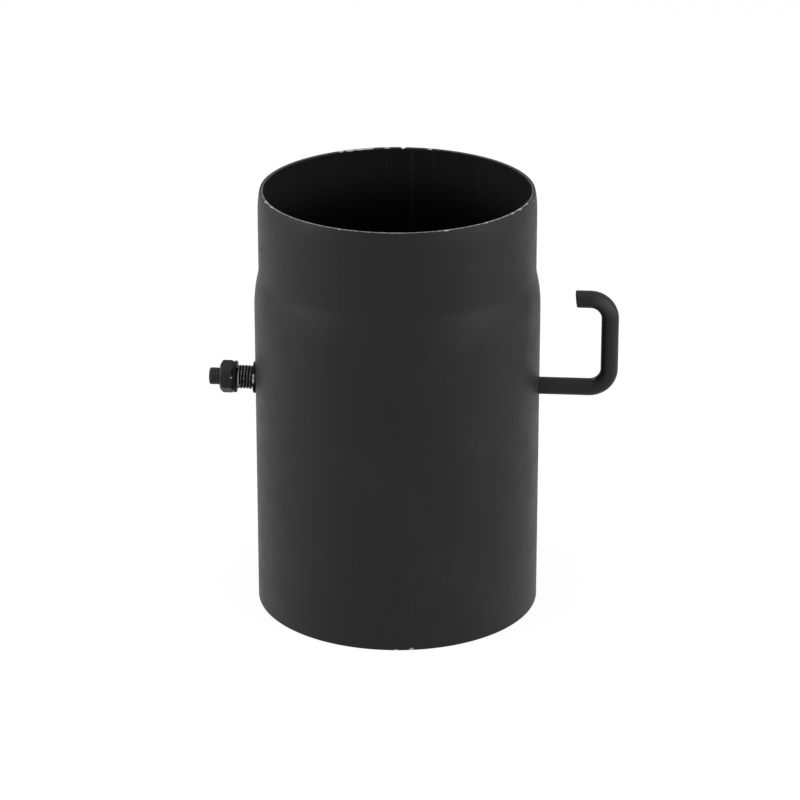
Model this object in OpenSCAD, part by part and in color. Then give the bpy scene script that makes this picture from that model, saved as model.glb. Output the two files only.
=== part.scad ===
// Stove pipe length with a turning damper blade on a bent round bar. Millimetres, +Z up the pipe.
// The pipe's axis is Z and its plain lower rim stands on Z = 0. The bar lies along X, handle at +X.
// At rest the damper is open: the blade and the handle both lie in the XZ plane.

/* [Pipe] */
// Inner diameter of the pipe, which is its nominal flue size
bore_d = 160; // [130:1:200]
// Thickness of the sheet that the pipe is rolled from
wall = 2; // [1:0.1:3]
// Height of the whole pipe length
pipe_h = 250; // [240:1:500]
// Height of the swaged upper end, from its shoulder to the rim
spigot_h = 49; // [35:1:60]
// Radial play between the swaged end and the socket of the next pipe
spigot_gap = 0.65; // [0.3:0.05:1.5]
// Height over which the body narrows to the swaged end
shoulder_h = 20; // [12:1:30]
// Height of the lip that curls in at the upper rim
lip_h = 12; // [5:1:20]
// How far the lip curls in
lip_in = 1.2; // [0.2:0.05:2]
// Bevel that breaks the edges of both rims
rim_bevel = 0.3; // [0.1:0.1:0.4]
// Width of the weld bead down the inside of the seam
weld_w = 3; // [2:0.5:6]
// Height of that weld bead
weld_h = 0.4; // [0.2:0.05:0.6]
// Distance that the weld bead stops short of either rim
weld_short = 1.5; // [1:0.5:5]

/* [Bar and handle] */
// Diameter of the bar
rod_d = 10; // [8:0.5:12]
// Height of the bar's axis above the lower rim
rod_z = 133; // [105:1:145]
// Distance from the pipe's outside to the centre line of the handle's grip
handle_reach = 40; // [36:1:80]
// Distance from the bar's axis to the axis of the handle's upper leg
handle_h = 53.5; // [40:0.5:90]
// Length of the upper leg, from the grip's centre line to its free end
handle_back = 19.6; // [18:0.1:28]
// Bend radius of the handle, at the bar's centre line
bend_r = 11.5; // [8:0.5:15]
// Length of the threaded stub beyond the nut
stub_len = 6.5; // [3:0.5:15]
// Bevel on both ends of the bar
rod_bevel = 1; // [0.5:0.1:2]

/* [Spring and nut] */
// Wire diameter of the spring
spring_wire = 1.5; // [1:0.1:2]
// Radial play between the spring and the bar
spring_play = 0.4; // [0.2:0.05:1]
// Length of the spring as it is clamped
spring_len = 9.6; // [9.6:0.1:25]
// Number of turns of the spring
spring_turns = 4.7; // [3:0.1:4.7]
// Outer diameter of the two washers outside the pipe
washer_d = 18.5; // [17:0.5:25]
// Thickness of those two washers
washer_t = 1.5; // [1:0.1:3]
// Radial play between the washers and the bar
washer_play = 0.25; // [0.15:0.05:0.5]
// Width across the flats of the nut on the bar
nut_flats = 17; // [16:1:22]
// Height of the nut on the bar
nut_h = 8; // [5:0.5:12]
// Turn of the nut in degrees, from a corner straight up towards the back
nut_turn = 7; // [0:1:59]

/* [Blade] */
// Gap between the blade's edge and the pipe's bore
blade_gap = 2.5; // [1.5:0.1:6]
// Thickness of the blade
blade_t = 2; // [1:0.1:3]
// Distance from the pipe's bore to the two flats of the blade, which leaves room for the stop
flat_inset = 10; // [8:0.5:14]

/* [Straps] */
// Thickness of the two straps that hold the blade to the bar
strap_t = 1.5; // [1:0.1:2.5]
// Width of a strap
strap_w = 20; // [14:1:26]
// Distance from the pipe's bore to the middle of a strap
strap_inset = 35; // [32:1:38]
// Inside bend radius where a strap turns out into its feet
strap_bend = 1.5; // [1:0.1:3]
// Length of the flat part of a foot
foot_len = 12; // [10:0.5:16]
// Thread diameter of the strap bolts
bolt_d = 5; // [4:0.5:6]
// Length of the strap bolts below the head
bolt_len = 11; // [11:0.5:16]
// Width across the flats of the strap bolts and their nuts
bolt_flats = 8; // [8:0.5:9]
// Height of a strap bolt's head
head_h = 3.5; // [2.5:0.1:4.5]
// Height of a strap bolt's nut
strap_nut_h = 4; // [3:0.1:5]
// Radial play between a strap bolt and its holes
bolt_play = 0.25; // [0.1:0.05:0.5]
// Outer diameter of the lock washers under the nuts
lock_d = 9.2; // [8.5:0.1:10]
// Thickness of the lock washers
lock_t = 1.2; // [0.8:0.1:1.6]
// Width of the slit in a lock washer
lock_slit = 0.8; // [0.4:0.1:1.2]

/* [Stop] */
// Outer diameter of the stop washer inside the wall
stop_washer_d = 20; // [18:0.5:25]
// Thickness of the stop washer
stop_washer_t = 2; // [1:0.1:3]
// Outer diameter of the slotted pin that holds the stop washer
pin_d = 3; // [2.5:0.1:4]
// Length of that pin
pin_len = 20; // [16:1:24]
// Sheet thickness of the pin
pin_t = 0.5; // [0.3:0.1:0.7]
// Width of the slot along the pin
pin_slot = 0.6; // [0.4:0.1:1]

/* [Clearances] */
// Clearance between pieces that turn and pieces that stand still
run_gap = 0.1; // [0.05:0.01:0.1]
// Clearance between pieces that are clamped together
fit_gap = 0.05; // [0.02:0.01:0.1]

/* [Hidden] */
$fn = 128;

// How far a cut runs past the piece that it cuts
overrun = wall;
// Steps along each curved stretch of the pipe's section
curve_steps = 10;
// Side count of the spring's wire, and steps in each of its turns
wire_sides = 10;
turn_steps = 30;
// Angle at which a nut's corners are bevelled
hex_bevel = 30;
// Where the weld seam lies, turned from +X towards +Y
seam_at = 88;

// Pipe
bore_r = bore_d / 2;
body_r = bore_r + wall;
spigot_r = bore_r - spigot_gap;
shoulder_z = pipe_h - spigot_h - shoulder_h;
shoulder_in = body_r - spigot_r;
shoulder_r = (pow(shoulder_h, 2) + pow(shoulder_in, 2)) / (2 * shoulder_in);

// Bar and handle
rod_r = rod_d / 2;
grip_x = body_r + handle_reach;

// Stack on the threaded end, from the pipe outwards, each value the face nearer the nut's end
wall_washer_x = -body_r - fit_gap - washer_t;
spring_x = wall_washer_x - run_gap - spring_len;
nut_washer_x = spring_x - fit_gap - washer_t;
rod_nut_x = nut_washer_x - nut_h;
stub_x = rod_nut_x - stub_len;
washer_hole_r = rod_r + washer_play;
coil_r = rod_r + spring_play + spring_wire / 2;
pitch = (spring_len - spring_wire) / spring_turns;

// Stop inside the left wall, where the washer's rim meets the round bore
stop_washer_x = -sqrt(pow(bore_r, 2) - pow(stop_washer_d / 2, 2)) + run_gap;
stop_pin_x = stop_washer_x + stop_washer_t + fit_gap + pin_d / 2;

// Blade and straps
blade_r = bore_r - blade_gap;
blade_y = rod_r + fit_gap;
blade_back_y = blade_y + blade_t;
flat_x = bore_r - flat_inset;
strap_x = bore_r - strap_inset;
strap_in_r = rod_r + fit_gap;
strap_out_r = strap_in_r + strap_t;
foot_z = strap_out_r + strap_bend;
bolt_z = foot_z + foot_len / 2;
bolt_places = [
    [-strap_x, bolt_z], [-strap_x, -bolt_z], [strap_x, bolt_z], [strap_x, -bolt_z]
];

steel_black = "#2b2b2c";
steel_inside = "#161617";
bar_black = "#29292a";
bare_steel = "#6d6c69";

// Height and outer radius of the shoulder at a share of the way up it: an arc tangent to the body
function shoulder_point(share) =
    let (up = share * shoulder_h)
    [body_r - shoulder_r + sqrt(pow(shoulder_r, 2) - pow(up, 2)), shoulder_z + up];

// The same for the lip, which curls in more and more towards the rim
function lip_point(share) =
    [spigot_r - lip_in * pow(share, 2), pipe_h - lip_h + share * (lip_h - rim_bevel)];

// Outside of the pipe from the lower rim up, without the bevels
outside = concat(
    [for (i = [0:curve_steps]) shoulder_point(i / curve_steps)],
    [for (i = [0:curve_steps]) lip_point(i / curve_steps)]
);
rim_r = spigot_r - lip_in;

// The pipe's section: up the outside, over the bevelled rim and down the inside
module pipe_section() {
    polygon(concat(
        [[body_r - rim_bevel, 0], [body_r, rim_bevel]],
        outside,
        [[rim_r - rim_bevel, pipe_h], [rim_r - wall + rim_bevel, pipe_h]],
        [for (i = [len(outside) - 1:-1:0]) [outside[i][0] - wall, outside[i][1]]],
        [[bore_r, rim_bevel], [bore_r + rim_bevel, 0]]
    ));
}

// The weld bead's section: a strip that follows the inside of the pipe
module weld_section() {
    low = [body_r, weld_short];
    high = [rim_r, pipe_h - weld_short];
    inner = concat(
        [low],
        [for (p = outside) if (p[1] < high[1]) p],
        [high]
    );
    polygon(concat(
        [for (p = inner) [p[0] - wall - weld_h, p[1]]],
        [for (i = [len(inner) - 1:-1:0]) [inner[i][0] - wall / 2, inner[i][1]]]
    ));
}

// Draws its children with their +Z along the bar, from x onwards
module on_bar(x) {
    translate([x, 0, rod_z]) rotate([0, 90, 0]) children();
}

// Draws its children with their +Z along -Y, from the back of the blade
module on_blade(place, depth) {
    translate([place[0], blade_back_y - depth, rod_z + place[1]]) rotate([90, 0, 0]) children();
}

// A flat ring on +Z
module ring(outer_r, inner_r, height) {
    difference() {
        cylinder(r = outer_r, h = height);
        translate([0, 0, -overrun]) cylinder(r = inner_r, h = height + 2 * overrun);
    }
}

// A hexagon prism with its corners bevelled at the ends that are asked for
module hexagon(flats, height, bevel_low, bevel_high) {
    corner_r = flats / 2 / cos(30);
    rise = (corner_r - flats / 2) * tan(hex_bevel);
    intersection() {
        cylinder(r = corner_r, h = height, $fn = 6);
        rotate_extrude() polygon([
            [0, 0],
            [bevel_low ? flats / 2 : corner_r, 0],
            [corner_r, bevel_low ? rise : 0],
            [corner_r, bevel_high ? height - rise : height],
            [bevel_high ? flats / 2 : corner_r, height],
            [0, height]
        ]);
    }
}

module hexagon_nut(flats, height, hole_r) {
    difference() {
        hexagon(flats, height, true, true);
        translate([0, 0, -overrun]) cylinder(r = hole_r, h = height + 2 * overrun);
    }
}

module pipe() {
    weld_turn = 360 * weld_w / (PI * bore_d);
    color(steel_black) difference() {
        union() {
            rotate_extrude() pipe_section();
            rotate([0, 0, seam_at - weld_turn / 2]) rotate_extrude(angle = weld_turn) weld_section();
        }
        on_bar(-body_r - overrun) cylinder(r = rod_r + run_gap, h = 2 * (body_r + overrun));
    }
}

// A quarter bend of the bar, from its centre of bending, drawn in the XZ plane
module bend(x, z, turn) {
    translate([x, 0, z]) rotate([90, turn, 0])
        rotate_extrude(angle = 90) translate([bend_r, 0]) circle(r = rod_r);
}

module handle_rod() {
    shaft_end = grip_x - bend_r;
    top_z = rod_z + handle_h;
    free_x = grip_x - handle_back;
    color(bar_black) difference() {
        union() {
            on_bar(stub_x) cylinder(r1 = rod_r - rod_bevel, r2 = rod_r, h = rod_bevel);
            on_bar(stub_x + rod_bevel) cylinder(r = rod_r, h = shaft_end - stub_x - rod_bevel);
            bend(shaft_end, rod_z + bend_r, 90);
            translate([grip_x, 0, rod_z + bend_r]) cylinder(r = rod_r, h = handle_h - 2 * bend_r);
            bend(shaft_end, top_z - bend_r, 0);
            translate([free_x + rod_bevel / 2, 0, top_z]) rotate([0, 90, 0])
                cylinder(r = rod_r, h = shaft_end - free_x - rod_bevel / 2);
            translate([free_x, 0, top_z]) rotate([0, 90, 0])
                cylinder(r1 = rod_r - rod_bevel / 2, r2 = rod_r, h = rod_bevel / 2);
        }
        translate([stop_pin_x, 0, rod_z - rod_r - overrun])
            cylinder(r = pin_d / 2 + fit_gap, h = rod_d + 2 * overrun);
    }
}

module wall_washer() {
    color(bar_black) on_bar(wall_washer_x) ring(washer_d / 2, washer_hole_r, washer_t);
}

module nut_washer() {
    color(bar_black) on_bar(nut_washer_x) ring(washer_d / 2, washer_hole_r, washer_t);
}

module stop_washer() {
    color(steel_inside) on_bar(stop_washer_x)
        ring(stop_washer_d / 2, washer_hole_r, stop_washer_t);
}

module rod_nut() {
    color(bar_black) on_bar(rod_nut_x) rotate([0, 0, -nut_turn])
        hexagon_nut(nut_flats, nut_h, rod_r + fit_gap);
}

// A point of the spring's wire: a share of the way along it, and an angle round the wire.
// The coil is wound left-handed.
function wire_point(share, round) =
    let (turn = -360 * spring_turns * share, reach = coil_r + spring_wire / 2 * cos(round))
    [
        reach * cos(turn),
        reach * sin(turn),
        spring_wire / 2 + pitch * spring_turns * share + spring_wire / 2 * sin(round)
    ];

module spring() {
    rings = ceil(spring_turns * turn_steps);
    sides = [0:wire_sides - 1];
    points = [
        for (i = [0:rings]) for (k = sides) wire_point(i / rings, 360 * k / wire_sides)
    ];
    skin = [
        for (i = [0:rings - 1]) for (k = sides)
            let (a = i * wire_sides, b = a + wire_sides, next = (k + 1) % wire_sides)
            each [[a + k, b + k, a + next], [b + k, b + next, a + next]]
    ];
    first = [for (k = sides) k];
    last = [for (k = sides) rings * wire_sides + wire_sides - 1 - k];
    color(bare_steel) on_bar(spring_x) polyhedron(points, concat(skin, [first, last]));
}

// A round disc with two flats, and the holes for the strap bolts
module damper_blade() {
    color(steel_inside) difference() {
        translate([0, blade_back_y, rod_z]) rotate([90, 0, 0]) intersection() {
            cylinder(r = blade_r, h = blade_t);
            translate([-flat_x, -blade_r, 0]) cube([2 * flat_x, 2 * blade_r, blade_t]);
        }
        for (place = bolt_places)
            on_blade(place, -overrun) cylinder(r = bolt_d / 2 + bolt_play, h = blade_t + 2 * overrun);
    }
}

// The strap's side view, with X away from its crown towards the blade, and Y along the foot
module strap_section() {
    turn_x = blade_y - strap_t - strap_bend;
    intersection() {
        difference() {
            circle(r = strap_out_r);
            circle(r = strap_in_r);
        }
        translate([-strap_out_r, -strap_out_r]) square([strap_out_r, 2 * strap_out_r]);
    }
    for (side = [0, 1]) mirror([0, side]) {
        translate([0, strap_in_r]) square([turn_x, strap_t]);
        intersection() {
            translate([turn_x, foot_z]) difference() {
                circle(r = strap_bend + strap_t);
                circle(r = strap_bend);
            }
            translate([turn_x, strap_in_r]) square([strap_bend + strap_t, foot_z - strap_in_r]);
        }
        translate([blade_y - strap_t, foot_z]) square([strap_t, foot_len]);
    }
}

module strap(x) {
    color(steel_inside) difference() {
        translate([x - strap_w / 2, 0, rod_z]) rotate([90, 0, 90])
            linear_extrude(height = strap_w) strap_section();
        for (z = [-bolt_z, bolt_z])
            on_blade([x, z], -overrun)
                cylinder(r = bolt_d / 2 + bolt_play, h = blade_t + strap_t + 2 * overrun);
    }
}

module strap_left() {
    strap(-strap_x);
}

module strap_right() {
    strap(strap_x);
}

module strap_bolt(i) {
    tip = bolt_d / 8;
    color(steel_inside) on_blade(bolt_places[i - 1], 0) {
        translate([0, 0, -head_h]) hexagon(bolt_flats, head_h, true, false);
        cylinder(r = bolt_d / 2, h = bolt_len - tip);
        translate([0, 0, bolt_len - tip]) cylinder(r1 = bolt_d / 2, r2 = bolt_d / 2 - tip, h = tip);
    }
}

// A split ring under each nut
module strap_lock_washer(i) {
    color(bare_steel) on_blade(bolt_places[i - 1], blade_t + strap_t) difference() {
        ring(lock_d / 2, bolt_d / 2 + fit_gap, lock_t);
        translate([0, -lock_slit / 2, -overrun]) cube([lock_d, lock_slit, lock_t + 2 * overrun]);
    }
}

module strap_nut(i) {
    color(steel_inside) on_blade(bolt_places[i - 1], blade_t + strap_t + lock_t)
        hexagon_nut(bolt_flats, strap_nut_h, bolt_d / 2 + fit_gap);
}

// A rolled pin, open along one side, through the bar
module stop_pin() {
    color(bare_steel) translate([stop_pin_x, 0, rod_z - pin_len / 2]) difference() {
        ring(pin_d / 2, pin_d / 2 - pin_t, pin_len);
        translate([0, -pin_slot / 2, -overrun]) cube([pin_d, pin_slot, pin_len + 2 * overrun]);
    }
}

pipe();
handle_rod();
wall_washer();
spring();
nut_washer();
rod_nut();
damper_blade();
strap_left();
strap_right();
stop_washer();
stop_pin();
strap_bolt(1);  // strap_bolt_1
strap_bolt(2);  // strap_bolt_2
strap_bolt(3);  // strap_bolt_3
strap_bolt(4);  // strap_bolt_4
strap_lock_washer(1);  // strap_lock_washer_1
strap_lock_washer(2);  // strap_lock_washer_2
strap_lock_washer(3);  // strap_lock_washer_3
strap_lock_washer(4);  // strap_lock_washer_4
strap_nut(1);  // strap_nut_1
strap_nut(2);  // strap_nut_2
strap_nut(3);  // strap_nut_3
strap_nut(4);  // strap_nut_4
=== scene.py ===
"""Looks for a stove pipe damper: a short flue pipe with a blade on a sprung cross bar.

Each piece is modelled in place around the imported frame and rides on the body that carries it.
All sizes are in metres. +Z runs up the pipe and +X along the bar towards its handle.
"""

import math

import bmesh
import bpy
from bpy.props import FloatProperty, FloatVectorProperty, IntProperty, PointerProperty
from mathutils import Matrix, Vector


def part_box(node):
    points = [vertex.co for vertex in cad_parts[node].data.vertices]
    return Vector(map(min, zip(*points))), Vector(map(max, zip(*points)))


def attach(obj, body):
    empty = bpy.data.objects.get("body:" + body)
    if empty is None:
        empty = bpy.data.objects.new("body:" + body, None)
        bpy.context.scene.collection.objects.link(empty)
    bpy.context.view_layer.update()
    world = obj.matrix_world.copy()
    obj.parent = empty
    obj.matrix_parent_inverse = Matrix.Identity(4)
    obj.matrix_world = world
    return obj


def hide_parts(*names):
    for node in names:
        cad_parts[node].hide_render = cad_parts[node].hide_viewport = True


bl_info = {
    "name": "Stove Pipe Damper",
    "version": (1, 0, 0),
    "blender": (4, 5, 0),
    "location": "View3D > Sidebar > Damper",
    "description": "Builds a stove pipe with its turning damper blade, bar, spring and fixings",
    "category": "Mesh",
}

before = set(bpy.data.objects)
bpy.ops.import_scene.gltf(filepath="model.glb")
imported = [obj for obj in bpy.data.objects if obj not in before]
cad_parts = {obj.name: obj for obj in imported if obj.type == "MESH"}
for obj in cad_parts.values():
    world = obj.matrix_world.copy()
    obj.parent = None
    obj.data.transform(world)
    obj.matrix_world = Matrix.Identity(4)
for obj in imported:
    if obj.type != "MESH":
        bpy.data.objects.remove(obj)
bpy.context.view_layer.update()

MM = 0.001
PIPE_BODY = "pipe_body"
DAMPER_BODY = "damper"

PIPE_LOW, PIPE_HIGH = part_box("pipe")
BAR_LOW, BAR_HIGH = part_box("handle_rod")
PIN_LOW, PIN_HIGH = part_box("stop_pin")
BODY_RADIUS = PIPE_HIGH.y
PIPE_HEIGHT = PIPE_HIGH.z - PIPE_LOW.z
BAR_RADIUS = 4.999 * MM
BAR_HEIGHT = (PIN_LOW.z + PIN_HIGH.z) / 2
LEG_HEIGHT = BAR_HIGH.z - BAR_RADIUS
GRIP_X = BAR_HIGH.x - BAR_RADIUS
BAR_CENTRE = Vector((0, 0, BAR_HEIGHT))

# Rows of the pipe's grid from the bar's axis to its hole, and to where the grid is square again
HOLE_ROWS, PATCH_ROWS = 4, 12

# Turn from +X in degrees, radius, height and reach in millimetres of each chip in the paint
CHIPS = (
    (-157.5, 77.6, 249.9, 1.9), (-150.5, 77.4, 249.9, 1.3), (-109.6, 77.6, 249.9, 1.0),
    (-65.2, 77.8, 249.9, 2.0), (-46, 77.6, 249.9, 1.3), (-29.6, 77.6, 249.9, 1.5),
    (-23.5, 77.8, 249.8, 2.0), (-16, 77.6, 249.9, 1.4), (-8, 78.1, 248.6, 2.6),
    (-8, 78.7, 244.8, 2.3), (-172, 78.1, 249.4, 1.2), (-167, 78.1, 248.4, 1.0),
    (107, 77.2, 249.9, 3.2), (111, 77.4, 249.9, 3.6), (115.5, 77.2, 249.9, 3.4),
    (120, 77.4, 249.9, 2.0), (99, 77.0, 249.9, 2.0), (80, 77.0, 249.9, 1.8),
    (-79.8, 82, 1.0, 3.0), (-86, 82, 0.4, 1.8), (-140, 81.5, 0.1, 1.2),
    (-20, 81.5, 0.1, 1.4), (60, 81.5, 0.1, 1.8), (150, 81.5, 0.1, 1.6),
)
# Turn from +X in degrees, height and reach in millimetres of each pit, darkened with painted shade
PITS = ((-160.5, 221, 1.5), (-8, 246.8, 1.1), (-35, 92, 0.7), (140, 150, 0.8))
# Place of the chip on the nut's front facet
NUT_CHIP = Vector((-95.9 * MM, -8.28 * MM, BAR_HEIGHT + 2.31 * MM))

# Colour, how readily steel shows on edges, dust, gloss, specular, and how much flakes break up
# the line between paint and steel, for each paint of the moving pieces and the washers
PAINTS = {
    "bar_matt_black": ("bar_paint", 0.3, 0.3, 0.06, 0.2, 1.1),
    "nut_matt_black": ("bar_paint", 0.2, 0.4, 0.03, 0.2, 1.1),
    # The washers' black is darker than the bar's paint: painted shade, as they sit between nut,
    # spring and wall
    "washer_shaded_matt": ("washer_shade_black", 0.16, 0.2, 0.03, 0.12, 1.1),
    "blade_matt_black": ("blade_paint", 0.3, 0.5, 0.0, 0.2, 1.1),
    # The spring's paint also shows a painted glint on its first coil
    "spring_worn_glinting_black": ("bar_paint", 0.4, 0.5, 0.08, 0.2, 0.6),
}


# ---- Sizes and colours that a user would change


def length(name, description, millimetres):
    return FloatProperty(
        name=name, description=description, default=millimetres * MM, unit="LENGTH", precision=5
    )


def angle(name, description, degrees):
    return FloatProperty(
        name=name, description=description, default=math.radians(degrees), subtype="ANGLE"
    )


def number(name, description, default):
    return FloatProperty(name=name, description=description, default=default, min=0)


def colour(name, description, default):
    return FloatVectorProperty(
        name=name, description=description, default=(*default, 1), size=4, subtype="COLOR",
        min=0, max=1,
    )


class DamperPipeSizes(bpy.types.PropertyGroup):
    """Sizes of the pipe, its swaged end, its rims and its weld."""

    wall: length("Wall", "Thickness of the sheet", 2)
    spigot_radius: length("Spigot radius", "Outer radius of the swaged end", 79.34)
    shoulder_low: length("Shoulder start", "Height at which the body starts to narrow", 181)
    shoulder_high: length("Shoulder end", "Height at which the swaged end starts", 201)
    kink_soft: length("Kink rounding", "Reach of the kink's rounding", 2.4)
    lip_low: length("Lip start", "Height at which the rim starts to curl in", 238)
    lip_in: length("Lip", "How far the rim curls in", 1.2)
    rim_round: length("Rim rounding", "Radius of the worn edges of both rims", 0.45)
    hole_play: length("Hole play", "Radial play of the bar in the wall", 0.1)
    jaw_mark: length("Jaw marks", "Depth of the swaging jaws' marks", 0.22)
    jaws: IntProperty(name="Jaws", description="Number of swaging jaws", default=6, min=2)
    weld_width: length("Weld width", "Width of the bead down the inside of the seam", 3)
    weld_height: length("Weld height", "Height of that bead", 0.42)
    weld_short: length("Weld end", "How far the bead stops short of a rim", 1.6)
    weld_turn: angle("Weld place", "Turn of the seam from +X towards +Y", 88)
    nick: length("Rim nick", "Depth of the nick in the upper rim", 0.9)
    nick_turn: angle("Nick place", "Turn of that nick from +X towards +Y", 92)


class DamperBarSizes(bpy.types.PropertyGroup):
    """Sizes of the bar, its thread, its spring, its washers and its nut."""

    bend_radius: length("Bend radius", "Bend radius at the bar's centre line", 11.5)
    end_bevel: length("End bevel", "Bevel on the threaded end", 1)
    free_end: length("Free end", "X of the handle's free end", 102.4)
    free_lean: length("Free end lean", "How far the free end's cut leans", 0.45)
    free_bevel: length("Free end bevel", "Bevel on the handle's free end", 0.7)
    thread_pitch: length("Thread pitch", "Distance from one turn to the next", 1.5)
    thread_depth: length("Thread depth", "Depth of the thread that the paint leaves", 0.16)
    wire: length("Wire", "Wire diameter of the spring", 1.5)
    coil_radius: length("Coil radius", "Radius of the spring at its wire's middle", 6.15)
    turns: number("Turns", "Turns of the spring", 4.7)
    closed_turns: number("Closed turns", "Turns at either end that lie wire on wire", 0.7)
    washer_hole: length("Washer hole", "Hole radius of the washers on the bar", 5.25)
    washer_round: length("Washer rounding", "Rounding of the washers' edges", 0.35)
    nut_flats: length("Nut flats", "Width across the flats of the bar's nut", 17)
    nut_face: length("Nut face", "Radius of the face inside its chamfer", 7.45)
    nut_chamfer: angle("Nut chamfer", "Angle of the outer chamfer to the nut's face", 33)
    nut_turn: angle("Nut turn", "Turn from a corner straight up towards the back", 7)
    nut_round: length("Nut rounding", "Rounding of the nut's edges", 0.5)


class DamperFixingSizes(bpy.types.PropertyGroup):
    """Roundings of the blade, the straps and the small fixings."""

    blade_round: length("Blade rounding", "Rounding of the blade's edge", 0.35)
    strap_round: length("Strap rounding", "Rounding of the straps' edges", 0.25)
    small_round: length("Fixing rounding", "Rounding of bolts, nuts and lock washers", 0.14)
    pin_round: length("Pin rounding", "Rounding of the slotted pin's edges", 0.1)
    bolt_flats: length("Bolt flats", "Width across the flats of the strap bolts", 7.99)
    bolt_head: length("Bolt head", "Height of the strap bolts' heads", 3.5)
    bolt_face: length("Bolt face", "Radius of the face inside its chamfer", 3.75)
    bolt_radius: length("Bolt radius", "Crest radius of the strap bolts' thread", 2.49)
    bolt_pitch: length("Bolt pitch", "Thread pitch of the strap bolts", 0.8)
    bolt_depth: length("Bolt thread depth", "Depth of the strap bolts' thread", 0.42)


class DamperColours(bpy.types.PropertyGroup):
    """Colours of the paint and of the steel under it."""

    paint: colour("Pipe paint", "Paint of the pipe", (0.0145, 0.0145, 0.0148))
    inside_paint: colour("Inside paint", "Paint inside the pipe", (0.0115, 0.0115, 0.0117))
    # Painted shade: the near black that darkens the inside further down and fills the pits
    painted_shade: colour("Soot", "Soot further down inside the pipe", (0.0012, 0.0012, 0.0012))
    bar_paint: colour("Bar paint", "Paint of the bar and nut", (0.0145, 0.0145, 0.0148))
    # Painted shade: a darker black for the washers between nut, spring and wall
    washer_shade_black: colour("Washer black", "Black of the outer washers", (0.006, 0.006, 0.006))
    blade_paint: colour("Blade paint", "Paint of the blade", (0.016, 0.016, 0.0163))
    # The pale colour is also used for painted highlights on the handle's bend, the rims of the pipe
    # and the wall washer, and the spring's first coil
    dust: colour("Dust", "Pale dust and rubbed patches on the paint", (0.085, 0.085, 0.084))
    # The steel colour also shows in painted highlights on the pipe's rim, the wall washer's rim and
    # the spring's first coil
    worn_steel: colour("Worn steel", "Steel where the paint is gone", (0.42, 0.418, 0.414))
    dark_steel: colour("Dark steel", "Bare steel of the small fixings", (0.2, 0.197, 0.194))
    rust: colour("Rust", "First rust in scratches and corners", (0.11, 0.05, 0.026))


class DamperStage(bpy.types.PropertyGroup):
    """Camera and lights."""

    distance: length("Distance", "Camera's distance from the middle of the pipe", 2050)
    azimuth: angle("Azimuth", "Turn of the camera towards +X", 4.6)
    elevation: angle("Elevation", "Camera's angle above the horizon", 21.578)
    pitch: angle("Pitch", "How far down the camera looks", 21.676)
    yaw: angle("Yaw", "How far the camera looks to the right of the pipe", 0.044)
    lens: number("Lens", "Focal length in millimetres", 159.34)
    world: number("World light", "Strength of the even light", 0.6)
    side_lamps: number("Side lamps", "Power of the side lamps", 17)
    top_lamp: number("Top lamp", "Power of the lamp overhead", 8)


# ---- Mesh helpers


def new_object(bm, name):
    """Turns a bmesh into an object of the scene."""
    mesh = bpy.data.meshes.new(name)
    bm.to_mesh(mesh)
    bm.free()
    item = bpy.data.objects.new(name, mesh)
    bpy.context.scene.collection.objects.link(item)
    return item


def new_piece(bm, name, node, body, slot, smooth, *finishes):
    """Makes a finished piece that stands for a CAD node."""
    piece = new_object(bm, name)
    piece.data.shade_smooth()
    piece.data.set_sharp_from_angle(angle=math.radians(smooth))
    for finish in finishes:
        make = FINISHES.get(finish, worn_paint)
        piece.data.materials.append(bpy.data.materials.get(finish) or make(finish))
    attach(piece, body)
    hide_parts(node)


def close_up(bm, weld=0.002 * MM):
    """Merges doubles and turns every face outwards."""
    bmesh.ops.remove_doubles(bm, verts=bm.verts, dist=weld)
    bmesh.ops.recalc_face_normals(bm, faces=bm.faces)


def polyline(bm, points, cyclic=False):
    """A row of vertices joined by edges."""
    verts = [bm.verts.new(p) for p in points]
    ends = verts[1:] + verts[:1] if cyclic else verts[1:]
    return verts + [bm.edges.new(pair) for pair in zip(verts, ends)]


def spun(bm, geom, centre, axis, turn, steps, merge=False, move=(0, 0, 0)):
    """Spins geometry round an axis and returns what the last step made."""
    return bmesh.ops.spin(
        bm, geom=geom, cent=centre, axis=axis, dvec=move, angle=turn, steps=steps, use_merge=merge
    )["geom_last"]


def bar_ring(section, steps):
    """A closed section of places along the bar and radii, spun round the bar."""
    bm = bmesh.new()
    profile = polyline(bm, [(x, 0, BAR_HEIGHT + radius) for x, radius in section], cyclic=True)
    spun(bm, profile, BAR_CENTRE, (1, 0, 0), math.tau, steps, merge=True)
    close_up(bm)
    return bm


def sharp_edges(bm, degrees):
    """Edges between faces that meet at more than an angle."""
    limit = math.radians(degrees)
    return [e for e in bm.edges if e.is_manifold and e.calc_face_angle(0) > limit]


def bevel(bm, edges, offset, segments=2):
    bmesh.ops.bevel(
        bm, geom=edges, offset=offset, offset_type="OFFSET", segments=segments, profile=0.5,
        affect="EDGES", clamp_overlap=True, material=-1,
    )


def mark_wear(bm):
    """Stores how far each vertex lies on an outer edge, where paint rubs off first."""
    layer = bm.verts.layers.float.new("wear_and_glint")
    bm.normal_update()
    for vert in bm.verts:
        angles = [e.calc_face_angle_signed(0) for e in vert.link_edges if e.is_manifold]
        vert[layer] = min(1, max(0, max(angles, default=0)) / math.radians(40))
    return layer


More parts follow.
